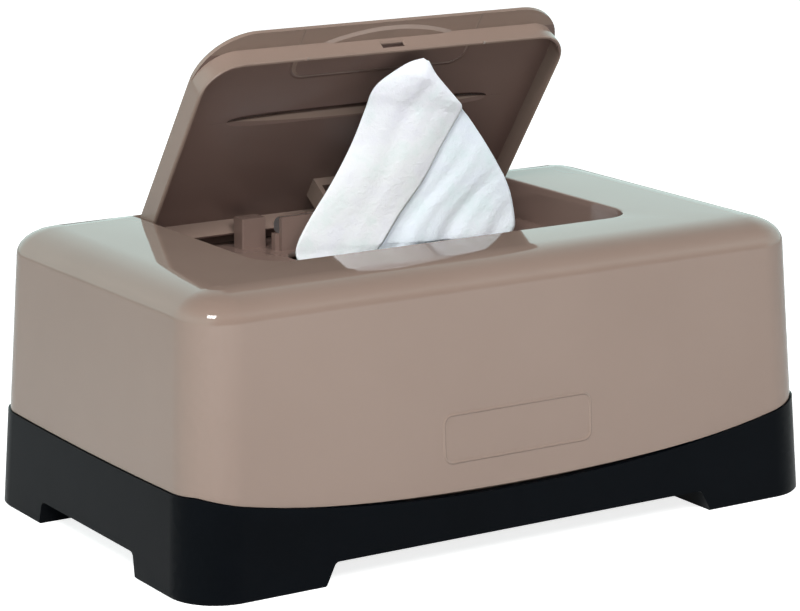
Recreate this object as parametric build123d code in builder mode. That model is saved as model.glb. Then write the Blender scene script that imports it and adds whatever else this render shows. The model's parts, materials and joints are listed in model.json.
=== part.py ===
from build123d import *
import os
from math import atan2, cos, radians, sin, tan

os.makedirs("parts", exist_ok=True)

# Whole box, in millimetres: X along the front, Y towards the back, Z up
base_length = 240.0
base_width = 147.0
box_height = 94.1
draft_angle = 2.96
plan_corner_radius = 17.0
wall = 2.4

# Crowned edge round the top of the shell: a quarter of an ellipse, in equal turns
crown_inward = 15.5
crown_down = 8.9
crown_turns = 9
crown_inside_turns = 3
crown_corner_least = 1.2

# Seam between the base and the shell: heights, with where each one lies along the front
seam_middle = 20.7
seam_inner_x = 49.0
seam_inner = 22.4
seam_outer_x = 80.0
seam_outer = 25.8
seam_end_x = 104.0
seam_ends = 30.1
seam_corner_rise = 2.0
seam_side_middle = 31.7
seam_side_ends = 33.0
seam_gap = 0.25
seam_front_gap = 1.25
seam_shoulder_share = 0.6
shell_step = 0.73

# Feet of the base
front_notch_height = 7.4
front_notch_top = 141.2
front_notch_bottom = 148.8
side_notch_height = 8.0
side_notch_top = 64.0
side_notch_bottom = 68.0
notch_corner_radius = 2.0
floor_thickness = 2.2
foot_edge = 0.6

# Skirt inside the shell that stands on the base's ledge
skirt_clearance = 0.3
skirt_thickness = 1.5
ledge_height = 15.0
skirt_overlap = 5.0

# Opening in the top and the well below it
opening_width = 143.0
opening_front = -34.1
opening_back = 56.9
opening_corner_radius = 12.5
opening_edge = 0.6
back_corner_radius = 1.0
lid_ledge_depth = 2.4
lid_ledge_width = 6.8
well_depth = 13.4
well_wall = 2.0
well_corner_radius = 6.0

# Slot that the wipes are drawn through
slot_width = 59.0
slot_depth = 23.0
slot_centre_y = 21.5
slot_edge = 0.8

# Lid, measured from the hinge axis with the lid shut
open_angle = 54.8
pivot_y = 50.5
pivot_below_lid_top = 4.3
lid_proud = 0.4
lid_side_gap = 0.9
lid_reach = 83.75
lid_back = 4.2
lid_thickness = 1.8
lid_corner_radius = 19.5
flange_width = 6.8
rim_height = 6.5
rim_wall = 1.1
rim_corner_radius = 13.5
rim_edge = 0.4
lid_edge = 0.5

# Finger dish pressed into the front of the lid
dish_half_width = 34.0
dish_back = 62.4
dish_shoulder = 71.0
dish_neck = 77.5
dish_neck_half_width = 24.0
dish_front = 82.0
dish_depth = 0.8
dish_bulge = 0.7
dish_flank = 1.2
dish_corner_radius = 5.5

# Groove across the lid's underside
groove_length = 101.0
groove_width = 5.2
groove_distance = 44.6
groove_depth = 1.25
groove_floor_length = 92.0
groove_floor_width = 1.2
groove_floor_shift = 1.2

# Catch at the middle of the front
catch_width = 8.4
catch_height = 2.0
catch_below_lid_top = 5.2
catch_nose = 0.5
catch_play = 0.4
catch_slot_edge = 0.6

# Hinge pins at the lid's back corners
pin_radius = 1.7
pin_clearance = 0.08
pin_length = 2.4

# Hollow boss under the lid that rides over the spring
boss_width = 14.8
boss_front = 12.2
boss_back = 4.2
boss_below_pivot = 8.2
boss_wall = 1.8
boss_hole_below_lid = 3.5
boss_hole_depth = 6.0

# Flat steel spring on edge, and what holds it
spring_length = 58.0
spring_height = 5.6
spring_thickness = 0.5
spring_y = 35.25
spring_below_top = 1.9
spring_corner_radius = 2.2
spring_clearance = 0.1
holder_thickness = 1.6
holder_outer = 27.2
holder_inner = 10.5
lug_outer = 17.5
lug_inner = 11.0
shelf_outer = 28.9
shelf_inner = 20.0

# Posts that stop the open lid
post_outer = 37.2
post_inner = 28.3
post_depth = 6.3
post_below_top = 3.0
post_clearance = 0.3
post_edge_radius = 0.5

# Folded wipes, and the one drawn up through the slot
stack_length = 196.0
stack_width = 112.0
stack_height = 57.0
stack_radius = 9.0
stack_edge = 2.5
soft_clearance = 0.4
wipe_thickness = 2.4
wipe_fold_step = 1.8
wipe_foot_y = 20.5
wipe_lean = 12.3
wipe_turn = 7.4
wipe_rise = 65.0
wipe_reach = 54.0
wipe_neck = 22.0


def wall_shift(z):
    """How far the outer walls have leaned in at height z."""
    return z * tan(radians(draft_angle))


# Sizes that follow from those above
pivot_z = box_height + lid_proud - pivot_below_lid_top
well_floor = box_height - well_depth
tray_floor = max(front_notch_height, side_notch_height) + floor_thickness
tray_inset = wall + skirt_clearance + skirt_thickness
opening_span = opening_back - opening_front
opening_middle = (opening_back + opening_front) / 2
well_front = opening_front + lid_ledge_width
lid_half_width = opening_width / 2 - lid_side_gap
rim_reach = lid_reach - flange_width
lid_top = pivot_below_lid_top
lid_under = lid_top - lid_thickness
rim_bottom = lid_under - rim_height
lid_sin = sin(radians(open_angle))
lid_cos = cos(radians(open_angle))
rim_stop_y = pivot_y + (lid_back - rim_wall) * lid_cos + rim_bottom * lid_sin
spring_top = box_height - spring_below_top
post_back = rim_stop_y - post_clearance
stack_top = tray_floor + stack_height
lid_plane = Plane(origin=(0, pivot_y, pivot_z), x_dir=(1, 0, 0), z_dir=(0, lid_sin, lid_cos))
lid_up = Axis(lid_plane.origin, lid_plane.z_dir)


def plan_outline(z, inset):
    """The box's rounded outline at height z, set in from the base's own."""
    shift = 2 * (wall_shift(z) + inset)
    with BuildSketch(Plane.XY.offset(z)) as outline:
        RectangleRounded(base_length - shift, base_width - shift, plan_corner_radius - inset)
    return outline.sketch


def drafted_block(z_low, z_high, inset):
    """Rounded block whose walls lean in with height, set in from the base's outline."""
    with BuildPart() as block:
        loft([plan_outline(z_low, inset), plan_outline(z_high, inset)], ruled=True)
    return block.part


def straight_block(z_low, z_high, inset):
    """Rounded block with upright walls, set in from the base's outline at its rim."""
    with BuildPart() as block:
        with Locations((0, 0, z_low - seam_side_ends)):
            add(plan_outline(seam_side_ends, inset))
        extrude(amount=z_high - z_low)
    return block.part


def crowned_block(z_low, inset, turns):
    """Drafted block whose walls turn over into the top along a quarter of an ellipse."""
    inward = crown_inward + shell_step - inset
    down = crown_down + shell_step - inset
    crown_low = box_height + shell_step - inset - down
    wall_inset = inset + wall_shift(crown_low)
    sections = [plan_outline(z_low, inset)]
    for turn in range(turns + 1):
        facing = radians(90 * turn / turns)
        round_angle = atan2(down * sin(facing), inward * cos(facing))
        step_in = inward * (1 - cos(round_angle))
        shift = 2 * (wall_inset + step_in)
        corner = max(plan_corner_radius - inset - step_in, crown_corner_least)
        with BuildSketch(Plane.XY.offset(crown_low + down * sin(round_angle))) as section:
            RectangleRounded(base_length - shift, base_width - shift, corner)
        sections.append(section.sketch)
    with BuildPart() as block:
        loft(sections, ruled=True)
    return block.part


def below_seam(front_gap, side_gap):
    """All that lies under the seam: a smile across the front and back, a sag along the sides."""
    reach = base_length / 2 + wall
    side_reach = base_width / 2 + wall
    shoulder_gap = side_gap + (front_gap - side_gap) * seam_shoulder_share
    corner_z = seam_side_ends + seam_corner_rise + side_gap
    rising = [
        (seam_inner_x, seam_inner + shoulder_gap),
        (seam_outer_x, seam_outer + side_gap),
        (seam_end_x, seam_ends + side_gap),
        (reach, corner_z),
    ]
    with BuildPart() as region:
        with BuildSketch(Plane.XZ):
            with BuildLine():
                Spline(
                    *[(-x, z) for x, z in reversed(rising)],
                    (0, seam_middle + front_gap),
                    *rising,
                )
                Polyline((reach, corner_z), (reach, -wall), (-reach, -wall), (-reach, corner_z))
            make_face()
        extrude(amount=side_reach, both=True)
        with BuildSketch(Plane.YZ):
            with BuildLine():
                ThreePointArc(
                    (-side_reach, seam_side_ends + side_gap),
                    (0, seam_side_middle + side_gap),
                    (side_reach, seam_side_ends + side_gap),
                )
                Polyline(
                    (side_reach, seam_side_ends + side_gap),
                    (side_reach, -wall),
                    (-side_reach, -wall),
                    (-side_reach, seam_side_ends + side_gap),
                )
            make_face()
        extrude(amount=reach, both=True, mode=Mode.INTERSECT)
    return region.part


def foot_pockets():
    """The hollows inside the four feet, open to the tray."""
    pocket_x = front_notch_bottom / 2 + wall
    pocket_y = side_notch_bottom / 2 + wall
    with BuildPart() as pockets:
        add(straight_block(wall, tray_floor + wall, tray_inset))
        with BuildSketch(Plane.XY):
            with GridLocations(pocket_x + base_length, pocket_y + base_width, 2, 2):
                Rectangle(base_length - pocket_x, base_width - pocket_y)
        extrude(amount=tray_floor + wall, mode=Mode.INTERSECT)
    return pockets.part


# Base: a black tray that stands on four hollow corner feet
tray_outside = drafted_block(foot_edge, seam_side_ends + wall, 0)
foot_bottom = plan_outline(0, foot_edge)
foot_shoulder = plan_outline(foot_edge, 0)
tray_upper_inside = straight_block(ledge_height, seam_side_ends + 2 * wall, wall)
tray_lower_inside = straight_block(tray_floor, ledge_height + wall, tray_inset)
tray_rim = below_seam(0, 0)
tray_pockets = foot_pockets()

with BuildPart() as base_tray:
    add(tray_outside)
    loft([foot_bottom, foot_shoulder], ruled=True)
    with BuildSketch(Plane.XZ) as front_notch:
        with BuildLine():
            Polyline(
                (-front_notch_bottom / 2, 0),
                (-front_notch_top / 2, front_notch_height),
                (front_notch_top / 2, front_notch_height),
                (front_notch_bottom / 2, 0),
                close=True,
            )
        make_face()
        fillet(front_notch.vertices().group_by(Axis.Y)[-1], notch_corner_radius)
    extrude(amount=base_width, both=True, mode=Mode.SUBTRACT)
    with BuildSketch(Plane.YZ) as side_notch:
        with BuildLine():
            Polyline(
                (-side_notch_bottom / 2, 0),
                (-side_notch_top / 2, side_notch_height),
                (side_notch_top / 2, side_notch_height),
                (side_notch_bottom / 2, 0),
                close=True,
            )
        make_face()
        fillet(side_notch.vertices().group_by(Axis.Y)[-1], notch_corner_radius)
    extrude(amount=base_length, both=True, mode=Mode.SUBTRACT)
    add(tray_upper_inside, mode=Mode.SUBTRACT)
    add(tray_lower_inside, mode=Mode.SUBTRACT)
    add(tray_pockets, mode=Mode.SUBTRACT)
    add(tray_rim, mode=Mode.INTERSECT)

base_tray.part.label = "base_tray"
export_step(base_tray.part, "parts/base_tray.step")


# Shell: the glossy cover with its crowned top, the well, the slot and the lid's mechanism
shell_outside = crowned_block(ledge_height, shell_step, crown_turns)
shell_inside = crowned_block(ledge_height - wall, shell_step + wall, crown_inside_turns)
shell_edge = below_seam(seam_front_gap, seam_gap)
skirt_top = seam_side_ends + skirt_overlap
skirt_outside = straight_block(ledge_height, skirt_top, wall + skirt_clearance)
skirt_inside = straight_block(ledge_height - wall, skirt_top + wall, tray_inset)

with BuildPart() as skirt_root:
    add(drafted_block(ledge_height, skirt_top, shell_step + wall / 2))
    add(skirt_inside, mode=Mode.SUBTRACT)

with BuildPart() as skirt:
    add(skirt_outside)
    add(skirt_inside, mode=Mode.SUBTRACT)

with BuildPart() as top_shell:
    add(shell_outside)
    add(shell_inside, mode=Mode.SUBTRACT)
    add(skirt_root.part)
    add(shell_edge, mode=Mode.SUBTRACT)
    add(skirt.part)
    # Walls and floor of the well, and the ledge that the lid's front flange lies on
    well_outside_width = opening_width + 2 * well_wall
    well_outside_depth = opening_back - well_front + 2 * well_wall
    well_middle = (opening_back + well_front) / 2
    with BuildSketch(Plane.XY.offset(well_floor - well_wall)):
        with Locations((0, well_middle)):
            RectangleRounded(
                well_outside_width, well_outside_depth, well_corner_radius + well_wall
            )
    extrude(amount=well_depth + well_wall - wall / 2)
    with BuildSketch(Plane.XY.offset(box_height - lid_ledge_depth - well_wall)):
        with Locations((0, opening_middle - well_wall / 2)):
            RectangleRounded(
                well_outside_width, opening_span + well_wall, opening_corner_radius + well_wall
            )
    extrude(amount=lid_ledge_depth + well_wall - wall / 2)
    with BuildSketch(Plane.XY.offset(box_height - lid_ledge_depth)) as opening:
        with Locations((0, opening_middle)):
            Rectangle(opening_width, opening_span)
        fillet(opening.vertices().group_by(Axis.Y)[0], opening_corner_radius)
        fillet(opening.vertices().group_by(Axis.Y)[-1], back_corner_radius)
    extrude(amount=lid_ledge_depth + wall, mode=Mode.SUBTRACT)
    with BuildSketch(Plane.XY.offset(well_floor)) as well:
        with Locations((0, well_middle)):
            Rectangle(opening_width, opening_back - well_front)
        fillet(well.vertices().group_by(Axis.Y)[0], well_corner_radius)
        fillet(well.vertices().group_by(Axis.Y)[-1], back_corner_radius)
    extrude(amount=well_depth, mode=Mode.SUBTRACT)
    # Broken edge round the opening
    with BuildSketch(Plane.XY.offset(box_height - opening_edge)):
        add(opening.sketch_local)
    with BuildSketch(Plane.XY.offset(box_height + opening_edge)):
        add(opening.sketch_local)
        offset(amount=2 * opening_edge)
    loft(ruled=True, mode=Mode.SUBTRACT)
    # Slot in the floor, with its upper edge broken for the wipe to slide over
    with BuildSketch(Plane.XY.offset(well_floor)):
        with Locations((0, slot_centre_y)):
            SlotOverall(slot_width, slot_depth)
    extrude(amount=-2 * well_wall, mode=Mode.SUBTRACT)
    slot_edges = top_shell.edges().filter_by(
        lambda edge: abs(edge.center().Z - well_floor) < 0.1
        and abs(edge.center().X) < slot_width / 2
        and abs(edge.center().Y - slot_centre_y) < slot_depth / 2 + 0.1
    )
    chamfer(slot_edges, slot_edge)
    # Catch nose on the well's front wall
    catch_z = box_height + lid_proud - catch_below_lid_top
    with BuildSketch(Plane.XZ.offset(-well_front)):
        with Locations((0, catch_z)):
            RectangleRounded(catch_width - catch_play, catch_height - catch_play, catch_play)
    extrude(amount=-catch_nose)
    # Holes for the hinge pins
    with BuildSketch(Plane.YZ):
        with Locations((pivot_y, pivot_z)):
            Circle(pin_radius + pin_clearance)
    extrude(amount=opening_width / 2 + 2 * well_wall, both=True, mode=Mode.SUBTRACT)

holder_y = spring_y - spring_thickness / 2 - spring_clearance - holder_thickness
lug_y = spring_y + spring_thickness / 2 + spring_clearance
spring_bottom = spring_top - spring_height

with BuildPart() as mechanism_half:
    # Plate in front of the spring's end
    with BuildSketch(Plane.XY.offset(well_floor)):
        with Locations(((holder_inner + holder_outer) / 2, holder_y + holder_thickness / 2)):
            Rectangle(holder_outer - holder_inner, holder_thickness)
        with Locations(((lug_inner + lug_outer) / 2, lug_y + holder_thickness / 2)):
            Rectangle(lug_outer - lug_inner, holder_thickness)
    extrude(amount=spring_top - well_floor)
    # Shelf under the spring's end, joined to the plate
    shelf_back = lug_y + holder_thickness
    shelf_front = holder_y + holder_thickness
    with BuildSketch(Plane.XY.offset(well_floor)):
        with Locations(((shelf_inner + shelf_outer) / 2, (shelf_front + shelf_back) / 2)):
            Rectangle(shelf_outer - shelf_inner, shelf_back - shelf_front)
    extrude(amount=spring_bottom - well_floor)
    # Post behind which the lid's back rim comes to rest
    with BuildSketch(Plane.XY.offset(well_floor)):
        with Locations(((post_inner + post_outer) / 2, post_back - post_depth / 2)):
            Rectangle(post_outer - post_inner, post_depth)
    extrude(amount=well_depth - post_below_top)
    post_edges = mechanism_half.faces().sort_by(Axis.X)[-1].edges().filter_by(Axis.Z)
    fillet(post_edges, post_edge_radius)

with top_shell:
    add(mechanism_half.part)
    add(mechanism_half.part.mirror(Plane.YZ))

top_shell.part.label = "top_shell"
export_step(top_shell.part, "parts/top_shell.step")


# Lid: a flat plate with a rim, held open at its stop angle
with BuildPart() as lid:
    with BuildSketch(lid_plane.offset(lid_under)) as plate:
        with Locations((0, (lid_back - lid_reach) / 2)):
            Rectangle(2 * lid_half_width, lid_back + lid_reach)
        fillet(plate.vertices().group_by(Axis.Y)[0], lid_corner_radius)
    extrude(amount=lid_thickness)
    chamfer(lid.faces().sort_by(lid_up)[-1].edges(), lid_edge)
    with BuildSketch(lid_plane.offset(rim_bottom)) as rim:
        with Locations((0, (lid_back - rim_reach) / 2)):
            Rectangle(2 * lid_half_width, lid_back + rim_reach)
        fillet(rim.vertices().group_by(Axis.Y)[0], rim_corner_radius)
    extrude(amount=rim_height)
    chamfer(lid.faces().sort_by(lid_up)[0].edges(), rim_edge)
    with BuildSketch(lid_plane.offset(rim_bottom)):
        add(rim.sketch_local)
        offset(amount=-rim_wall)
    extrude(amount=rim_height, mode=Mode.SUBTRACT)
    # Finger dish: a hollow in the top and its bulge with sloping flanks below
    with BuildSketch(lid_plane.offset(lid_under)) as dish:
        with BuildLine():
            Polyline(
                (-dish_neck_half_width, -dish_neck),
                (-dish_half_width, -dish_shoulder),
                (-dish_half_width, -dish_back),
                (dish_half_width, -dish_back),
                (dish_half_width, -dish_shoulder),
                (dish_neck_half_width, -dish_neck),
            )
            ThreePointArc(
                (dish_neck_half_width, -dish_neck),
                (0, -dish_front),
                (-dish_neck_half_width, -dish_neck),
            )
        make_face()
        fillet(dish.vertices().group_by(Axis.Y)[-1], dish_corner_radius)
    with BuildSketch(lid_plane.offset(lid_under - dish_bulge)):
        add(dish.sketch_local)
        offset(amount=-dish_flank)
    loft(ruled=True)
    with BuildSketch(lid_plane.offset(lid_top - dish_depth)):
        add(dish.sketch_local)
    extrude(amount=dish_depth, mode=Mode.SUBTRACT)
    # Groove with pointed ends across the underside, steeper towards the free edge
    for height, length, width, shift in (
        (lid_under, groove_length, groove_width, 0),
        (lid_under + groove_depth, groove_floor_length, groove_floor_width, groove_floor_shift),
    ):
        with BuildSketch(lid_plane.offset(height)):
            with BuildLine():
                for side in (-1, 1):
                    ThreePointArc(
                        (-length / 2, -groove_distance - shift),
                        (0, -groove_distance - shift + side * width / 2),
                        (length / 2, -groove_distance - shift),
                    )
            make_face()
    loft(ruled=True, mode=Mode.SUBTRACT)
    # Hollow boss at the middle of the hinge side, open to the front
    with BuildSketch(lid_plane.offset(-boss_below_pivot)):
        with Locations((0, -(boss_front + boss_back) / 2)):
            Rectangle(boss_width, boss_front - boss_back)
    extrude(amount=boss_below_pivot + lid_under)
    with BuildSketch(lid_plane.offset(boss_wall - boss_below_pivot)):
        with Locations((0, boss_hole_depth / 2 - boss_front)):
            Rectangle(boss_width - 2 * boss_wall, boss_hole_depth)
    extrude(
        amount=boss_below_pivot - boss_wall + lid_under - boss_hole_below_lid,
        mode=Mode.SUBTRACT,
    )
    # Slot for the catch in the front rim
    with BuildSketch(lid_plane.offset(lid_top - catch_below_lid_top - catch_height / 2)):
        with Locations((0, rim_wall / 2 - rim_reach)):
            Rectangle(catch_width, 2 * rim_wall)
    extrude(amount=catch_height, mode=Mode.SUBTRACT)
    slot_frame = lid.faces().filter_by(
        lambda face: abs((face.center() - lid_plane.origin).dot(lid_plane.y_dir) + rim_reach) < 0.01
    )[0]
    chamfer(slot_frame.inner_wires()[0].edges(), catch_slot_edge)
    # Hinge pins
    for side in (-1, 1):
        pin_plane = Plane(
            origin=(side * (lid_half_width - rim_wall / 2), pivot_y, pivot_z),
            x_dir=(0, 1, 0),
            z_dir=(side, 0, 0),
        )
        with BuildSketch(pin_plane):
            Circle(pin_radius)
        extrude(amount=pin_length + rim_wall / 2)

lid.part.label = "lid"
export_step(lid.part, "parts/lid.step")


# Spring: a flat steel strip with rounded ends, on edge between the plates and the lugs
spring_plane = Plane(
    origin=(0, spring_y + spring_thickness / 2, spring_top - spring_height / 2),
    x_dir=(1, 0, 0),
    z_dir=(0, -1, 0),
)

with BuildPart() as lid_spring:
    with BuildSketch(spring_plane):
        RectangleRounded(spring_length, spring_height, spring_corner_radius)
    extrude(amount=spring_thickness)

lid_spring.part.label = "lid_spring"
export_step(lid_spring.part, "parts/lid_spring.step")


# Folded wipes on the floor of the base
with BuildPart() as wipe_stack:
    with BuildSketch(Plane.XY.offset(tray_floor)):
        RectangleRounded(stack_length, stack_width, stack_radius)
    extrude(amount=stack_height)
    chamfer(wipe_stack.edges().group_by(Axis.Z)[0], stack_edge)
    chamfer(wipe_stack.edges().group_by(Axis.Z)[-1], stack_edge)

wipe_stack.part.label = "wipe_stack"
export_step(wipe_stack.part, "parts/wipe_stack.step")


def wipe_leaf(outline, step_back):
    """Flat leaf of cloth that leans forward: outline gives x and z, step_back its depth behind."""
    front = [
        (
            x,
            wipe_foot_y
            + step_back
            - x * tan(radians(wipe_turn))
            - (z - well_floor) * tan(radians(wipe_lean)),
            z,
        )
        for x, z in outline
    ]
    with BuildPart() as leaf:
        extrude(Face(Wire.make_polygon(front)), amount=wipe_thickness, dir=(0, 1, 0))
    return leaf.part


# The drawn-up wipe: two leaves that overlap at a fold, from the stack to the peak
wipe_low = stack_top + soft_clearance
wipe_floor = well_floor + 2 * soft_clearance
left_edge = [(-0.46, 0.04), (-0.43, 0.14), (-0.35, 0.32), (-0.25, 0.5), (-0.17, 0.75), (-0.12, 0.9)]
fold = [(0.24, 1.01), (0.46, 0.74), (0.34, 0.48), (0.2, 0.18)]
right_edge = [(0.42, 0.84), (0.66, 0.58), (0.84, 0.36), (0.97, 0.18), (1.0, 0.06)]
left_points = [(x * wipe_reach, well_floor + z * wipe_rise) for x, z in left_edge + fold]
right_points = [(x * wipe_reach, well_floor + z * wipe_rise) for x, z in fold[:1] + right_edge]

with BuildPart() as pulled_wipe:
    add(wipe_leaf([(wipe_neck / 4, wipe_floor), (-wipe_neck, wipe_floor), *left_points], 0))
    add(wipe_leaf([*right_points, (wipe_neck, wipe_floor), (0, wipe_floor)], wipe_fold_step))
    add(
        wipe_leaf(
            [
                (-wipe_neck, wipe_low),
                (-wipe_neck, wipe_floor + wipe_thickness),
                (wipe_neck, wipe_floor + wipe_thickness),
                (wipe_neck, wipe_low),
            ],
            wipe_fold_step / 2,
        )
    )

pulled_wipe.part.label = "pulled_wipe"
export_step(pulled_wipe.part, "parts/pulled_wipe.step")
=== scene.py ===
import bpy
import json
import math
import numpy as np
from functools import partial
from mathutils import Matrix, Vector


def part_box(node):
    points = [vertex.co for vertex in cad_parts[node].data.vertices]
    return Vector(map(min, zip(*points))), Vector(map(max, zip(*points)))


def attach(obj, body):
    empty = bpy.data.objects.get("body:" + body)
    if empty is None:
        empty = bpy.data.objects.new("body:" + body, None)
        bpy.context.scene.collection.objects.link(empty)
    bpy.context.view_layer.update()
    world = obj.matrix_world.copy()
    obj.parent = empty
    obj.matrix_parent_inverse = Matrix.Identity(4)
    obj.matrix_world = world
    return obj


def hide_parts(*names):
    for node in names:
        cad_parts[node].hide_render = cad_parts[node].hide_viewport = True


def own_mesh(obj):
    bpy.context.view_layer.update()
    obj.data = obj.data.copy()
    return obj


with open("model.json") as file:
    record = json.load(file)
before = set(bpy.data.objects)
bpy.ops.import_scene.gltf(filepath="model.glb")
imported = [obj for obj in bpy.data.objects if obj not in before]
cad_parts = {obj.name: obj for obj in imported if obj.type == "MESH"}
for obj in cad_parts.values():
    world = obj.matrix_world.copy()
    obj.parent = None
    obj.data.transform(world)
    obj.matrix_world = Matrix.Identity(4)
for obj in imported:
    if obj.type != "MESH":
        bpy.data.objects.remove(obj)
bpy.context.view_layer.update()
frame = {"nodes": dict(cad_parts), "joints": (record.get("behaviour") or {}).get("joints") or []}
nodes = frame["nodes"]
lidHinge = next(joint for joint in frame["joints"] if joint["name"] == "lid_hinge")
print("frame loaded:", ", ".join(sorted(nodes)))


# Small helpers
def meshFromGrid(name, points, closedU=False):
    # a grid of points, rows along v and columns along u, becomes a quad mesh with a UV map
    # vertex (i, j) is row i, column j; a face joins (i, j), (i, j+1), (i+1, j+1), (i+1, j)
    rows, cols = points.shape[:2]
    i, j = np.meshgrid(np.arange(rows - 1), np.arange(cols if closedU else cols - 1), indexing="ij")
    k = (j + 1) % cols
    faces = np.stack([i * cols + j, i * cols + k, (i + 1) * cols + k, (i + 1) * cols + j], -1)
    mesh = bpy.data.meshes.new(name)
    mesh.from_pydata(points.reshape(-1, 3).tolist(), [], faces.reshape(-1, 4).tolist())
    uv = mesh.uv_layers.new(name="flat")
    loops = np.zeros(len(mesh.loops), dtype=np.int32)
    mesh.loops.foreach_get("vertex_index", loops)
    flat = np.stack([(loops % cols) / (cols - 1), (loops // cols) / (rows - 1)], -1)
    uv.data.foreach_set("uv", flat.astype(np.float32).ravel())
    mesh.polygons.foreach_set("use_smooth", np.ones(len(mesh.polygons), dtype=bool))
    mesh.update()
    piece = bpy.data.objects.new(name, mesh)
    bpy.context.scene.collection.objects.link(piece)
    return piece


def curveThrough(table, count):
    # a smooth curve through the table's rows: cubic Hermite spans whose slope at a row
    # is half the step from the row before it to the row after it
    table = np.asarray(table, float)
    slope = np.gradient(table, axis=0)
    at = np.linspace(0, len(table) - 1, count)
    low = np.minimum(at.astype(int), len(table) - 2)
    s = (at - low).reshape((-1,) + (1,) * (table.ndim - 1))
    p0, p1, m0, m1 = table[low], table[low + 1], slope[low], slope[low + 1]
    return (
        (2 * s**3 - 3 * s**2 + 1) * p0 + (s**3 - 2 * s**2 + s) * m0
        + (3 * s**2 - 2 * s**3) * p1 + (s**3 - s**2) * m1
    )


def smoothRise(share):
    # 0 below 0, 1 above 1, and 3 s ** 2 - 2 s ** 3 between
    share = np.clip(share, 0, 1)
    return share**2 * (3 - 2 * share)


def newMaterial(name):
    material = bpy.data.materials.new(name)
    material.use_nodes = True
    tree = material.node_tree
    return material, tree, tree.nodes["Principled BSDF"]


def coordinates(tree, kind):
    return tree.nodes.new("ShaderNodeTexCoord").outputs[kind]


def splitAxes(tree, vector):
    split = tree.nodes.new("ShaderNodeSeparateXYZ")
    tree.links.new(vector, split.inputs[0])
    return split.outputs


def mathNode(tree, operation, *values):
    # a value is a number or another node's output
    node = tree.nodes.new("ShaderNodeMath")
    node.operation = operation
    for slot, value in enumerate(values):
        if isinstance(value, (int, float)):
            node.inputs[slot].default_value = value
        else:
            tree.links.new(value, node.inputs[slot])
    return node.outputs[0]


def noiseNode(tree, vector, scale, detail, roughness=0.5, distortion=0.0):
    noise = tree.nodes.new("ShaderNodeTexNoise")
    noise.inputs["Scale"].default_value = scale
    noise.inputs["Detail"].default_value = detail
    noise.inputs["Roughness"].default_value = roughness
    noise.inputs["Distortion"].default_value = distortion
    tree.links.new(vector, noise.inputs["Vector"])
    return noise.outputs["Fac"]


def colourRamp(tree, source, stops):
    ramp = tree.nodes.new("ShaderNodeValToRGB")
    elements = ramp.color_ramp.elements
    for index, (position, colour) in enumerate(stops):
        element = elements[index] if index < 2 else elements.new(position)
        element.position = position
        element.color = (*colour, 1)
    tree.links.new(source, ramp.inputs["Fac"])
    return ramp.outputs["Color"]


def withPaintedShade(tree, colour, share, paintedShadeTint):
    # painted shade: the colour times a darker tint where the share is 1
    mix = tree.nodes.new("ShaderNodeMix")
    mix.data_type = "RGBA"
    mix.blend_type = "MULTIPLY"
    tree.links.new(share, mix.inputs[0])
    tree.links.new(colour, mix.inputs[6])
    mix.inputs[7].default_value = (*paintedShadeTint, 1)
    return mix.outputs[2]


def bumpNode(tree, height, strength, distance, below=None):
    bump = tree.nodes.new("ShaderNodeBump")
    bump.inputs["Strength"].default_value = strength
    bump.inputs["Distance"].default_value = distance
    tree.links.new(height, bump.inputs["Height"])
    if below is not None:
        tree.links.new(below, bump.inputs["Normal"])
    return bump.outputs["Normal"]


def mapped(tree, source, low, high, start, end, kind="SMOOTHSTEP"):
    # start where the source is at or under low, end where it is at or over high
    span = tree.nodes.new("ShaderNodeMapRange")
    span.interpolation_type = kind
    for name, value in (("From Min", low), ("From Max", high), ("To Min", start), ("To Max", end)):
        span.inputs[name].default_value = value
    tree.links.new(source, span.inputs["Value"])
    return span.outputs["Result"]


def mottled(tree, place, setting):
    # a colour that wanders between the setting's shades
    clouds = noiseNode(tree, place, **setting["clouds"])
    return colourRamp(tree, clouds, setting["shades"])


def smudged(tree, place, setting):
    # a roughness that wanders between the setting's two levels
    smudge = noiseNode(tree, place, **setting["smudge"])
    return mapped(tree, smudge, 0, 1, *setting["roughness"], kind="LINEAR")


def paint(piece, material):
    piece.data.materials.clear()
    piece.data.materials.append(material)


# Camera at the photograph's place
view = {
    "place": (-0.530823, -0.837930, 0.297729),
    "right": (0.845014, -0.534741, -0.001938),
    "up": (0.123750, 0.192025, 0.973557),
    "lens": 137.045,
    "sensor": 36.0,
    "clip": (0.05, 50),
}


def placeCamera():
    right, up = Vector(view["right"]).normalized(), Vector(view["up"]).normalized()
    back = right.cross(up).normalized()
    data = bpy.data.cameras.new("camera")
    data.lens = view["lens"]
    data.sensor_width = view["sensor"]
    data.sensor_fit = "HORIZONTAL"
    data.clip_start, data.clip_end = view["clip"]
    camera = bpy.data.objects.new("camera", data)
    bpy.context.scene.collection.objects.link(camera)
    turn = Matrix((right, up, back)).transposed().to_4x4()
    camera.matrix_world = Matrix.Translation(view["place"]) @ turn
    bpy.context.scene.camera = camera
    bpy.context.scene.view_settings.view_transform = "Standard"


placeCamera()
print("camera placed")


# Glossy taupe plastic of the cover and the lid
gloss = {
    "shades": [(0.3, (0.258, 0.184, 0.151)), (0.7, (0.270, 0.194, 0.160))],
    "clouds": {"scale": 22, "detail": 3},
    "roughness": (0.045, 0.07),
    "smudge": {"scale": 60, "detail": 4, "roughness": 0.65},
    "flow": {"scale": 45, "detail": 2},
    "flowBump": (0.012, 0.002),
    "ior": 1.5,
}
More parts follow.
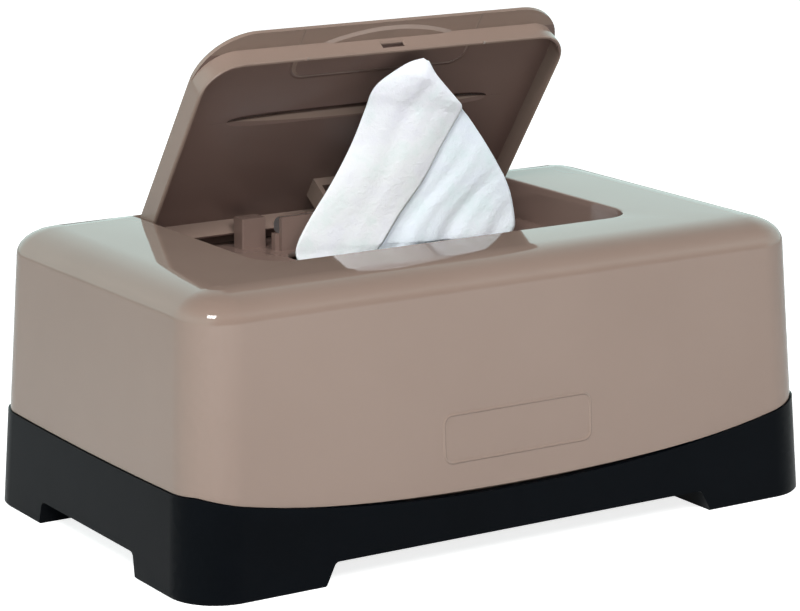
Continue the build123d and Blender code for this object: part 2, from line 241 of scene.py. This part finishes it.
# lengths in metres in the open lid's own directions, and spans of the normal's share along the
# height over the lid's plane, which is -1 on a face that looks straight out of the underside
lidInside = {
    "halfWidth": 0.0693,
    "reach": 0.0756,
    "height": 0.0030,
    "edge": 0.0001,
    "facing": (-0.99, -0.93),
    # painted shade: the tint darkens the flat underside within the rim
    "paintedShadeTint": (0.68, 0.62, 0.65),
    "matt": 0.17,
}
lidGroove = {
    "level": 0.0025,
    "middle": 0.0442,
    "halfLength": 0.0512,
    "blunt": 7,
    "closing": 0.4,
    "least": 0.0001,
    "halfWidth": 0.0029,
    "depth": 0.0015,
    "deepest": 0.1,
    "besideIt": (0.0042, 0.006),
    "pastItsEnds": (0.056, 0.06),
    "facing": (-0.4, -0.1),
    "shadeAcross": (0.0, 0.3),
    "shadeSunk": (0.0, 0.25),
    # painted shade on the groove's steep flank
    "paintedGrooveShade": (0.42, 0.38, 0.40),
}
lidDish = {
    "halfWidth": 0.0343,
    "back": 0.0620,
    "corner": 0.0058,
    "line": 0.0008,
    "stand": 0.0004,
    "facing": (-0.8, -0.5),
}
# the well's tint is painted shade that darkens the inside of the opening
well = {
    "x": (-0.0715, 0.0715),
    "y": (-0.0341, 0.0569),
    "corner": 0.0125,
    "edge": (0.0001, 0.0005),
    "paintedShadeTint": (0.80, 0.76, 0.78),
}


def lidDirections(tree):
    # x, the way forward from the hinge, the height over it, and the normal's share along that
    # height, all in the open lid's own directions
    lean = math.radians(lidHinge["range_deg"][1])
    upward = (0, math.sin(lean), math.cos(lean))
    forward = (0, -math.cos(lean), math.sin(lean))

    def dotted(source, direction):
        node = tree.nodes.new("ShaderNodeVectorMath")
        node.operation = "DOT_PRODUCT"
        node.inputs[1].default_value = direction
        tree.links.new(source, node.inputs[0])
        return node.outputs["Value"]

    fromHinge = tree.nodes.new("ShaderNodeVectorMath")
    fromHinge.operation = "SUBTRACT"
    fromHinge.inputs[1].default_value = lidHinge["pos_m"]
    tree.links.new(coordinates(tree, "Object"), fromHinge.inputs[0])
    place = fromHinge.outputs["Vector"]
    facing = dotted(coordinates(tree, "Normal"), upward)
    return dotted(place, (1, 0, 0)), dotted(place, forward), dotted(place, upward), facing


def insideOfLid(tree, width, reach, height, facing):
    # 1 on the flat underside within the rim, 0 elsewhere: steps on the three lengths times a
    # smooth step of the normal's share that points straight out of the underside
    mask = mapped(tree, facing, *lidInside["facing"], 1, 0)
    half = mathNode(tree, "ABSOLUTE", width)
    for source, name in ((half, "halfWidth"), (reach, "reach"), (height, "height")):
        limit, edge = lidInside[name], lidInside["edge"]
        share = mapped(tree, source, limit - edge, limit + edge, 1, 0)
        mask = mathNode(tree, "MULTIPLY", mask, share)
    return mask


def grooveShape(tree, width, reach, height, facing):
    # the height that turns the solid's groove into the rounder one: the solid's own height over
    # the flat underside is taken away and a tent is put in its place. The tent's width and depth
    # close together at its blunt ends, by (1 - (x / half length) ** blunt) ** closing
    groove = lidGroove
    calc = partial(mathNode, tree)
    aside = calc("ABSOLUTE", width)
    along = calc("POWER", calc("DIVIDE", aside, groove["halfLength"]), groove["blunt"])
    left = calc("MAXIMUM", calc("SUBTRACT", 1, along), groove["least"])
    closing = calc("POWER", left, groove["closing"])
    away = calc("SUBTRACT", reach, groove["middle"])
    across = calc("DIVIDE", away, calc("MULTIPLY", closing, groove["halfWidth"]))
    # the tent's two flanks rise from the edges at -1 and 1 and meet at its deepest line
    low = calc("DIVIDE", calc("ADD", across, 1), 1 + groove["deepest"])
    high = calc("DIVIDE", calc("SUBTRACT", 1, across), 1 - groove["deepest"])
    tent = calc("MAXIMUM", calc("MINIMUM", low, high), 0)
    sunk = calc("MULTIPLY", calc("MULTIPLY", tent, closing), groove["depth"])
    own = calc("SUBTRACT", height, groove["level"])
    near = mapped(tree, calc("ABSOLUTE", away), *groove["besideIt"], 1, 0)
    under = mapped(tree, facing, *groove["facing"], 1, 0)
    within = mapped(tree, aside, *groove["pastItsEnds"], 1, 0)
    gate = calc("MULTIPLY", calc("MULTIPLY", near, under), within)
    relief = calc("MULTIPLY", calc("SUBTRACT", own, sunk), gate)
    # painted shade: little light reaches the flank on the free edge's side, so that flank is
    # darkened
    steep = mapped(tree, across, *groove["shadeAcross"], 0, 1)
    paintedShadeShare = calc("MULTIPLY", mapped(tree, tent, *groove["shadeSunk"], 0, 1), steep)
    return relief, calc("MULTIPLY", paintedShadeShare, gate)


def roundedOutline(tree, acrossX, acrossY, corner):
    # signed distance to a rectangle with round corners, from how far a point is past each straight
    # side's start: the length of the positive parts plus the smaller of their maximum and 0,
    # less the corner
    calc = partial(mathNode, tree)
    outX = calc("MAXIMUM", acrossX, 0)
    outY = calc("MAXIMUM", acrossY, 0)
    squares = calc("MULTIPLY_ADD", outX, outX, calc("MULTIPLY", outY, outY))
    inner = calc("MINIMUM", calc("MAXIMUM", acrossX, acrossY), 0)
    return calc("SUBTRACT", calc("ADD", calc("SQRT", squares), inner), corner)


def dishLine(tree, width, reach, facing):
    # a low bead along the dish's outline, which is open towards the free edge
    dish = lidDish
    calc = partial(mathNode, tree)
    straight = dish["halfWidth"] - dish["corner"]
    sideways = calc("SUBTRACT", calc("ABSOLUTE", width), straight)
    downward = calc("SUBTRACT", dish["back"] + dish["corner"], reach)
    distance = calc("ABSOLUTE", roundedOutline(tree, sideways, downward, dish["corner"]))
    bell = mapped(tree, distance, 0, dish["line"], dish["stand"], 0)
    return calc("MULTIPLY", bell, mapped(tree, facing, *dish["facing"], 1, 0))


def insideOfWell(tree):
    # painted shade mask: 1 within the opening's rounded outline, 0 outside it
    calc = partial(mathNode, tree)
    axes = splitAxes(tree, coordinates(tree, "Object"))
    away = []
    for axis, (low, high) in (("X", well["x"]), ("Y", well["y"])):
        centred = calc("SUBTRACT", axes[axis], (low + high) / 2)
        straight = (high - low) / 2 - well["corner"]
        away.append(calc("SUBTRACT", calc("ABSOLUTE", centred), straight))
    return mapped(tree, roundedOutline(tree, *away, well["corner"]), *well["edge"], 1, 0)


def glossyTaupe(name, inside):
    material, tree, shader = newMaterial(name)
    place = coordinates(tree, "Object")
    colour = mottled(tree, place, gloss)
    rough = smudged(tree, place, gloss)
    normal = bumpNode(tree, noiseNode(tree, place, **gloss["flow"]), *gloss["flowBump"])
    if inside == "well":
        # painted shade: the inside of the well is darkened
        colour = withPaintedShade(tree, colour, insideOfWell(tree), well["paintedShadeTint"])
    if inside == "lid":
        width, reach, height, facing = lidDirections(tree)
        within = insideOfLid(tree, width, reach, height, facing)
        # painted shade: the underside within the rim is darkened
        colour = withPaintedShade(tree, colour, within, lidInside["paintedShadeTint"])
        groove, paintedShadeShare = grooveShape(tree, width, reach, height, facing)
        # painted shade: the groove's steep flank is darkened
        colour = withPaintedShade(tree, colour, paintedShadeShare, lidGroove["paintedGrooveShade"])
        rough = mathNode(tree, "MULTIPLY_ADD", within, lidInside["matt"], rough)
        for relief in (groove, dishLine(tree, width, reach, facing)):
            normal = bumpNode(tree, relief, 1.0, 1.0, normal)
    tree.links.new(colour, shader.inputs["Base Color"])
    tree.links.new(rough, shader.inputs["Roughness"])
    tree.links.new(normal, shader.inputs["Normal"])
    shader.inputs["IOR"].default_value = gloss["ior"]
    return material


# Satin black plastic of the base
satin = {
    "shades": [(0.35, (0.0009, 0.0016, 0.0028)), (0.7, (0.0015, 0.0025, 0.0042))],
    "clouds": {"scale": 30, "detail": 4},
    "roughness": (0.28, 0.36),
    "smudge": {"scale": 90, "detail": 4, "roughness": 0.6},
    "grain": {"scale": 2400, "detail": 2},
    "grainBump": (0.12, 0.0002),
    "mirror": 0.06,
}


def satinBlack():
    material, tree, shader = newMaterial("satinBlack")
    place = coordinates(tree, "Object")
    normal = bumpNode(tree, noiseNode(tree, place, **satin["grain"]), *satin["grainBump"])
    tree.links.new(mottled(tree, place, satin), shader.inputs["Base Color"])
    tree.links.new(smudged(tree, place, satin), shader.inputs["Roughness"])
    tree.links.new(normal, shader.inputs["Normal"])
    shader.inputs["Specular IOR Level"].default_value = satin["mirror"]
    return material


# Rolled steel of the spring
steel = {
    "shades": [(0.3, (0.52, 0.59, 0.65)), (0.7, (0.66, 0.74, 0.80))],
    "stretch": (12, 400, 900),
    "lines": {"scale": 3, "detail": 5},
    "lineBump": (0.1, 0.0002),
    "roughness": 0.34,
}


def rolledSteel():
    material, tree, shader = newMaterial("rolledSteel")
    stretch = tree.nodes.new("ShaderNodeMapping")
    stretch.inputs["Scale"].default_value = steel["stretch"]
    tree.links.new(coordinates(tree, "Object"), stretch.inputs["Vector"])
    lines = noiseNode(tree, stretch.outputs["Vector"], **steel["lines"])
    tree.links.new(colourRamp(tree, lines, steel["shades"]), shader.inputs["Base Color"])
    tree.links.new(bumpNode(tree, lines, *steel["lineBump"]), shader.inputs["Normal"])
    shader.inputs["Metallic"].default_value = 1.0
    shader.inputs["Roughness"].default_value = steel["roughness"]
    return material


# White non-woven cloth of the wipes
# painted shade: the tints darken the single layer near the drawn-up wipe's tip and its rear leaf,
# and both start above the folded wipes
cloth = {
    "shades": [(0.36, (0.90, 0.955, 0.96)), (0.5, (0.96, 0.975, 1.0)), (0.66, (0.94, 0.945, 1.0))],
    "clouds": {"scale": 95, "detail": 4, "roughness": 0.62},
    "tipShadeFrom": (0.105, 0.142),
    "paintedTipShade": (0.92, 0.91, 0.95),
    "rearFrom": (0.47, 0.53),
    "aboveStack": (0.070, 0.078),
    "paintedRearShade": (0.90, 0.95, 0.985),
    "fluff": {"scale": 420, "detail": 5, "roughness": 0.7, "distortion": 0.4},
    "fluffBump": (0.36, 0.0012),
    "strand": {"scale": 1800, "detail": 3, "roughness": 0.8},
    "strandBump": (0.216, 0.0004),
    "roughness": 0.85,
    "sheen": 0.25,
    "sheenRoughness": 0.5,
}


def wipeCloth():
    material, tree, shader = newMaterial("wipeCloth")
    place = coordinates(tree, "Object")
    colour = mottled(tree, place, cloth)
    height = splitAxes(tree, place)["Z"]
    tipShadeShare = mapped(tree, height, *cloth["tipShadeFrom"], 0, 1)
    # painted shade: the single layer near the tip is darkened
    colour = withPaintedShade(tree, colour, tipShadeShare, cloth["paintedTipShade"])
    # the rear leaf is the part of the sheet past the fold, found by the way along its UV map
    across = splitAxes(tree, coordinates(tree, "UV"))["X"]
    rear = mapped(tree, across, *cloth["rearFrom"], 0, 1)
    above = mapped(tree, height, *cloth["aboveStack"], 0, 1)
    # painted shade: the rear leaf is darkened and cooled above the folded wipes
    colour = withPaintedShade(tree, colour, mathNode(tree, "MULTIPLY", rear, above), cloth["paintedRearShade"])
    tree.links.new(colour, shader.inputs["Base Color"])
    under = bumpNode(tree, noiseNode(tree, place, **cloth["fluff"]), *cloth["fluffBump"])
    strand = noiseNode(tree, place, **cloth["strand"])
    over = bumpNode(tree, strand, *cloth["strandBump"], under)
    tree.links.new(over, shader.inputs["Normal"])
    shader.inputs["Roughness"].default_value = cloth["roughness"]
    shader.inputs["Sheen Weight"].default_value = cloth["sheen"]
    shader.inputs["Sheen Roughness"].default_value = cloth["sheenRoughness"]
    return material


taupe = glossyTaupe("glossyTaupe", inside="well")
lidTaupe = glossyTaupe("lidTaupe", inside="lid")
black, rolled, nonWoven = satinBlack(), rolledSteel(), wipeCloth()
finishes = {"top_shell": taupe, "lid": lidTaupe, "base_tray": black, "lid_spring": rolled}
for name, material in finishes.items():
    paint(nodes[name], material)
print("materials ready")


# Moulded nodes: joined triangles with softened edges
# angles in degrees
edges = {
    "together": 0.00002,
    "sharpAbove": {"top_shell": 52.0, "lid": 19.0, "base_tray": 52.0, "lid_spring": 52.0},
    "weight": 50,
}


def softenEdges(piece, sharpAbove):
    # points that coincide are joined, edges that turn more than the angle stay sharp,
    # and each normal is averaged with the weight of its faces' areas
    piece.data.polygons.foreach_set("use_smooth", np.ones(len(piece.data.polygons), dtype=bool))
    weld = piece.modifiers.new("joined", "WELD")
    weld.merge_threshold = edges["together"]
    split = piece.modifiers.new("sharp", "EDGE_SPLIT")
    split.split_angle = math.radians(sharpAbove)
    split.use_edge_sharp = False
    normals = piece.modifiers.new("normals", "WEIGHTED_NORMAL")
    normals.mode = "FACE_AREA"
    normals.weight = edges["weight"]


for name, sharpAbove in edges["sharpAbove"].items():
    softenEdges(nodes[name], sharpAbove)
print("moulded pieces softened")


# The wipe drawn up through the slot
# rows from the pack upwards: left edge, fold and right edge, each x, y, z. All lengths are in
# millimetres, but the thickness is in metres
wipe = {
    "rows": [
        [(-19, 21.5, 67.5), (2, 20.5, 67.5), (20, 21.5, 67.5)],
        [(-21.5, 22, 74), (2.5, 20, 74), (22, 21, 74)],
        [(-26, 23.5, 78.5), (2.5, 20, 79.5), (25, 19.5, 80.3)],
        [(-27.2, 24, 81.5), (3, 19.5, 81.5), (42, 17.3, 81)],
        [(-26.3, 23.5, 86), (4.5, 19, 83.5), (54, 15.4, 81.3)],
        [(-21.8, 22.8, 93.8), (10.5, 17.8, 92.8), (54.7, 14.8, 88.9)],
        [(-14.7, 20.9, 105.1), (18.1, 16.2, 102.9), (50.7, 14, 100.3)],
        [(-8.7, 18.2, 117.8), (23.8, 13.8, 114.4), (42.3, 13, 113.1)],
        [(-5.3, 14.5, 130.3), (28.8, 10.8, 124.9), (33.6, 11.8, 124.4)],
        [(-4.5, 12.4, 135.4), (29.4, 9.4, 128.4), (29.9, 10.4, 127.6)],
        [(-1.9, 10.4, 139.6), (26.4, 8.2, 131.5), (26.5, 9.2, 131)],
        [(5.8, 7, 145.1), (17.3, 6, 140.3), (17.5, 7, 139.8)],
        [(11.6, 5.4, 146.7), (13.2, 4.8, 145.7), (13.3, 5.3, 145.4)],
    ],
    "levels": 130,
    "leftColumns": 44,
    "tuckColumns": 10,
    "rightColumns": 44,
    "thickness": 0.0006,
}
tuckedFold = {"reach": 7.0, "fullWidth": 12.0, "least": 0.04, "gap": 1.3, "round": 0.35}
frontLeaf = {
    "bulge": 2.2,
    "from": 79.5,
    "over": 34,
    "fullWidth": 18,
    "waves": 0.38,
    "slant": (0.85, 0.5, 82),
    "sway": (2.2, 0.11),
    "broad": (0.3, 0.6),
    "fine": (0.3, 0.72, 0.0, 0.05),
}
rearLeaf = {
    "swell": 0.8,
    "from": 69,
    "over": 9,
    "fullWidth": 20,
    "pastFold": 9,
    "ends": (0.02, 0.96),
    "endPower": 0.6,
    "calmer": 0.6,
    "waves": 0.6,
    "slant": (0.72, 0.5, 82),
    "sway": (1.6, 0.16),
    "broad": (0.42, 0.4),
    "fine": (0.45, 0.93, 2.1, 0.0),
}
gathers = {"below": 86, "over": 18, "size": 1.6, "pace": 0.55, "frontPhase": 0.0, "rearPhase": 1.4}


def leafWaves(leaf, setting):
    # two cosines of a slanting length, a broad one and a fine one. The length is a share of x less
    # a share of the height over the slot, and it sways by a sine of the height
    x, z = leaf[..., 0], leaf[..., 2]
    shareX, shareZ, slotHeight = setting["slant"]
    swaySize, swayPace = setting["sway"]
    slant = x * shareX - (z - slotHeight) * shareZ + swaySize * np.sin(z * swayPace)
    pace, phase = setting["broad"]
    fineSize, finePace, finePhase, drift = setting["fine"]
    fine = fineSize * np.cos(slant * finePace + finePhase + z * drift)
    return setting["waves"] * (np.cos(slant * pace + phase) + fine)


def wipeSheet():
    # each row runs from the left edge to the fold, back behind the front leaf by the tuck, and on
    # to the right edge. The tuck shrinks where the right edge meets the fold. The front leaf
    # bulges forwards by 4 a (1 - a) across its width, more and more up to a height. The rear leaf
    # swells forwards by a power of a sine across its width, and its waves calm with the height
    table = curveThrough(wipe["rows"], wipe["levels"])
    left, fold, rightEdge = table[:, 0], table[:, 1], table[:, 2]
    height = fold[:, 2:3]
    frontWidth = fold[:, :1] - left[:, :1]
    rearWidth = rightEdge[:, :1] - fold[:, :1]
    a = np.linspace(0, 1, wipe["leftColumns"])[None, :]
    b = np.linspace(0, 1, wipe["tuckColumns"])[None, 1:-1]
    c = np.linspace(0, 1, wipe["rightColumns"])[None, :]

    def along(start, end, share):
        return start[:, None, :] * (1 - share[..., None]) + end[:, None, :] * share[..., None]

    # the tuck lies along the front leaf's own slope, so that it stays behind it
    slope = (left[:, 1] - fold[:, 1]) / np.maximum(frontWidth[:, 0], 1)
    room = np.clip(rearWidth[:, 0] / tuckedFold["fullWidth"], tuckedFold["least"], 1)
    tuck = tuckedFold["reach"] * room
    behind = fold.copy()
    behind[:, 0] -= tuck
    behind[:, 1] += tuckedFold["gap"] + tuck * slope
    inside = behind.copy()
    inside[:, 1] -= tuckedFold["gap"] / 2
    front = along(left, fold, a)
    turn = along(fold, inside, b)
    rear = along(behind, rightEdge, c)
    turn[..., 1] += tuckedFold["round"] * np.sin(math.pi * b)

    upper = smoothRise((height - frontLeaf["from"]) / frontLeaf["over"])
    bowl = 4 * a * (1 - a) * np.clip(frontWidth / frontLeaf["fullWidth"], 0, 1)
    front[..., 1] -= upper * bowl * (frontLeaf["bulge"] + leafWaves(front, frontLeaf))

    start, share = rearLeaf["ends"]
    fade = np.sin(math.pi * (start + share * c)) ** rearLeaf["endPower"]
    fade = fade * np.clip(rearWidth / rearLeaf["fullWidth"], 0, 1)
    fade = fade * np.clip((height - rearLeaf["from"]) / rearLeaf["over"], 0, 1)
    # the rear leaf swells only where it has come out from behind the fold
    out = smoothRise((rear[..., 0] - fold[:, :1]) / rearLeaf["pastFold"])
    ripple = (1 - rearLeaf["calmer"] * upper) * leafWaves(rear, rearLeaf)
    rear[..., 1] -= fade * out * (rearLeaf["swell"] + ripple)

    # below the slot's edge both leaves are gathered in tighter waves
    gathered = np.clip((gathers["below"] - height) / gathers["over"], 0, 1) ** 2
    for leaf, phase in ((front, gathers["frontPhase"]), (rear, gathers["rearPhase"])):
        wave = np.cos(leaf[..., 0] * gathers["pace"] + phase)
        leaf[..., 1] += gathered * gathers["size"] * wave
    points = np.concatenate([front, turn, rear], 1) / 1000
    return meshFromGrid("drawnWipe", points)


drawnWipe = wipeSheet()
paint(drawnWipe, nonWoven)
thick = drawnWipe.modifiers.new("thickness", "SOLIDIFY")
thick.thickness = wipe["thickness"]
thick.offset = 0
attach(drawnWipe, "shell")
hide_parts("pulled_wipe")
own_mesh(drawnWipe)


# The folded wipes in the base
# lengths in metres; heights run from -1 at the bottom to 1 at the top
stack = {
    "layers": 24,
    "rowsPerLayer": 8,
    "around": 220,
    "roundness": 6.0,
    "layerDepth": 0.0009,
    "gapPower": 0.5,
    "edgeDepth": 0.0015,
    "edgePower": 12,
    "wander": 0.0004,
    "wanderTurns": 3,
    "wanderPace": 40,
    "capRings": 14,
    "capInset": 0.0024,
    "capHole": 0.002,
    "dip": 0.0012,
    "dipWidth": 0.006,
}


def foldedStack():
    # side rings: a superellipse in plan, one row above another, that steps in at each layer's gap;
    # the top and bottom close in shrinking rings, and the top sinks a little at the middle fold
    low, high = (np.array(corner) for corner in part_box("wipe_stack"))
    middle, half = (low + high) / 2, (high - low) / 2
    angle = np.linspace(0, 2 * math.pi, stack["around"], endpoint=False)
    power = 2 / stack["roundness"]
    planX = np.sign(np.cos(angle)) * np.abs(np.cos(angle)) ** power
    planY = np.sign(np.sin(angle)) * np.abs(np.sin(angle)) ** power
    height = np.linspace(-1, 1, stack["layers"] * stack["rowsPerLayer"] + 1)[:, None]
    layer = np.abs(np.sin(height * stack["layers"] * math.pi / 2)) ** stack["gapPower"]
    rounded = stack["edgeDepth"] * np.abs(height) ** stack["edgePower"]
    inset = stack["layerDepth"] * (1 - layer) + rounded
    turns, pace = stack["wanderTurns"], stack["wanderPace"]
    wander = stack["wander"] * np.sin(turns * angle) * np.sin(height * pace)
    sideX = (half[0] - inset) * planX + wander
    sideY = (half[1] - inset) * planY + wander
    side = np.stack([sideX, sideY, np.broadcast_to(height * half[2], sideX.shape)], -1)
    share = np.linspace(1, stack["capHole"], stack["capRings"])[1:, None]
    capX = (half[0] - stack["capInset"]) * share * planX
    capY = (half[1] - stack["capInset"]) * share * planY
    dip = stack["dip"] * np.exp(-((capY / stack["dipWidth"]) ** 2))
    top = np.stack([capX, capY, half[2] - dip], -1)
    bottom = np.stack([capX, capY, np.full_like(capX, -half[2])], -1)[::-1]
    points = np.concatenate([bottom, side, top], 0) + middle
    return meshFromGrid("foldedWipes", points, closedU=True)


foldedWipes = foldedStack()
paint(foldedWipes, nonWoven)
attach(foldedWipes, "base")
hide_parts("wipe_stack")
print("folded wipes made")


# Bare frame on the front of the cover
# lengths in millimetres, and the wall's draft in degrees
bareFrame = {
    "middle": -1.4,
    "halfWidth": 28.0,
    "low": 31.7,
    "high": 47.0,
    "corner": 3.0,
    "cornerPoints": 10,
    "line": 0.6,
    "linePoints": 9,
    "stand": 0.42,
    "sunkEdge": 0.02,
    "draft": 2.96,
    "wallY": 72.77,
}


def frameRidge():
    # a thin band carried round a rounded rectangle on the sloping front wall. Across the band the
    # profile is a shallow ridge: height times the cosine bell of the distance from its middle line
    corner, line = bareFrame["corner"], bareFrame["line"]
    centreZ = (bareFrame["low"] + bareFrame["high"]) / 2
    halfX, halfZ = bareFrame["halfWidth"], (bareFrame["high"] - bareFrame["low"]) / 2
    turn = np.linspace(0, math.pi / 2, bareFrame["cornerPoints"])
    path = []
    for sx, sz, start in ((1, 1, 0), (-1, 1, 1), (-1, -1, 2), (1, -1, 3)):
        a = turn + start * math.pi / 2
        path.append(np.stack([np.cos(a), np.sin(a), np.full_like(a, sx), np.full_like(a, sz)], -1))
    path = np.concatenate(path)
    across = np.linspace(-1, 1, bareFrame["linePoints"])[:, None]
    radius = corner + across * line
    x = bareFrame["middle"] + path[:, 2] * (halfX - corner) + radius * path[:, 0]
    z = centreZ + path[:, 3] * (halfZ - corner) + radius * path[:, 1]
    bell = 0.5 + 0.5 * np.cos(across * math.pi)
    lift = bareFrame["stand"] * bell - bareFrame["sunkEdge"]
    y = -(bareFrame["wallY"] - z * math.tan(math.radians(bareFrame["draft"])) + lift)
    points = np.stack([x, y, z], -1) / 1000
    return meshFromGrid("bareFrame", points, closedU=True)


frameLine = frameRidge()
paint(frameLine, taupe)
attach(frameLine, "shell")
print("bare frame made")


# Floor, backdrop and light
studio = {
    "floor": (0.86, 0.86, 0.86),
    "floorHalf": 4,
    "floorRoughness": 0.9,
    "paper": 0.8,
    "paperMirrored": 0.1,
    "surround": (0.99, 1.26, 1.22),
    "surroundTop": (0.40, 0.60),
    "mirroredTop": (0.36, 0.95),
    "openFront": (-0.84, -0.55),
    "aim": (0, 0, 0.07),
}
lamps = {
    "key": {"power": 18.8, "size": (0.5, 0.5), "place": (-1.01, -0.85, 1.30), "mirrored": True},
    "fill": {"power": 16.0, "size": (0.85, 0.7), "place": (-0.05, -1.32, 1.30), "mirrored": False},
    "low": {"power": 3.8, "size": (0.5, 0.5), "place": (-1.02, -1.64, 0.59), "mirrored": False},
}


def softLight(name, setting):
    data = bpy.data.lights.new(name, "AREA")
    data.shape = "RECTANGLE"
    data.size, data.size_y = setting["size"]
    data.energy = setting["power"]
    lamp = bpy.data.objects.new(name, data)
    bpy.context.scene.collection.objects.link(lamp)
    lamp.location = setting["place"]
    aim = Vector(studio["aim"]) - Vector(setting["place"])
    lamp.rotation_euler = aim.to_track_quat("-Z", "Y").to_euler()
    lamp.visible_glossy = setting["mirrored"]


def whitePaper():
    # the camera sees the lit floor with a white glow over it, so only shadows show on it.
    # A mirroring face meets a weaker glow: each kind of ray adds its own level
    material, tree, shader = newMaterial("paleFloor")
    shader.inputs["Base Color"].default_value = (*studio["floor"], 1)
    shader.inputs["Roughness"].default_value = studio["floorRoughness"]
    shader.inputs["Specular IOR Level"].default_value = 0.0
    shader.inputs["Emission Color"].default_value = (1, 1, 1, 1)
    rays = tree.nodes.new("ShaderNodeLightPath").outputs
    glow = mathNode(tree, "MULTIPLY", rays["Is Camera Ray"], studio["paper"])
    for ray, level in (("Is Glossy Ray", "paperMirrored"), ("Is Transmission Ray", "paper")):
        glow = mathNode(tree, "MULTIPLY_ADD", rays[ray], studio[level], glow)
    tree.links.new(glow, shader.inputs["Emission Strength"])
    return material


def studioWorld():
    # white for the camera. All other rays meet a pale wall round the studio that is open
    # at the front: two smooth steps multiplied, one down with height and one up from the front.
    # Mirrored rays see the wall reach higher
    world = bpy.data.worlds.new("studio")
    world.use_nodes = True
    tree = world.node_tree
    axes = splitAxes(tree, coordinates(tree, "Generated"))
    rays = tree.nodes.new("ShaderNodeLightPath").outputs
    below = mapped(tree, axes["Z"], *studio["surroundTop"], 1, 0)
    taller = mapped(tree, axes["Z"], *studio["mirroredTop"], 1, 0)
    extra = mathNode(tree, "SUBTRACT", taller, below)
    below = mathNode(tree, "MULTIPLY_ADD", extra, rays["Is Glossy Ray"], below)
    behind = mapped(tree, axes["Y"], *studio["openFront"], 0, 1)
    surround = tree.nodes["Background"]
    surround.inputs["Color"].default_value = (*studio["surround"], 1)
    wall = mathNode(tree, "MULTIPLY", below, behind)
    tree.links.new(wall, surround.inputs["Strength"])
    white = tree.nodes.new("ShaderNodeBackground")
    white.inputs["Color"].default_value = (1, 1, 1, 1)
    white.inputs["Strength"].default_value = 1.0
    seen = mathNode(tree, "MAXIMUM", rays["Is Camera Ray"], rays["Is Transmission Ray"])
    mix = tree.nodes.new("ShaderNodeMixShader")
    tree.links.new(seen, mix.inputs[0])
    tree.links.new(surround.outputs["Background"], mix.inputs[1])
    tree.links.new(white.outputs["Background"], mix.inputs[2])
    tree.links.new(mix.outputs["Shader"], tree.nodes["World Output"].inputs["Surface"])
    return world


def makeStudio():
    half = studio["floorHalf"]
    corners = [(-half, -half, 0), (half, -half, 0), (half, half, 0), (-half, half, 0)]
    mesh = bpy.data.meshes.new("floor")
    mesh.from_pydata(corners, [], [(0, 1, 2, 3)])
    floor = bpy.data.objects.new("floor", mesh)
    bpy.context.scene.collection.objects.link(floor)
    paint(floor, whitePaper())
    bpy.context.scene.world = studioWorld()
    for lamp, setting in lamps.items():
        softLight(lamp, setting)


makeStudio()
print("studio lit")
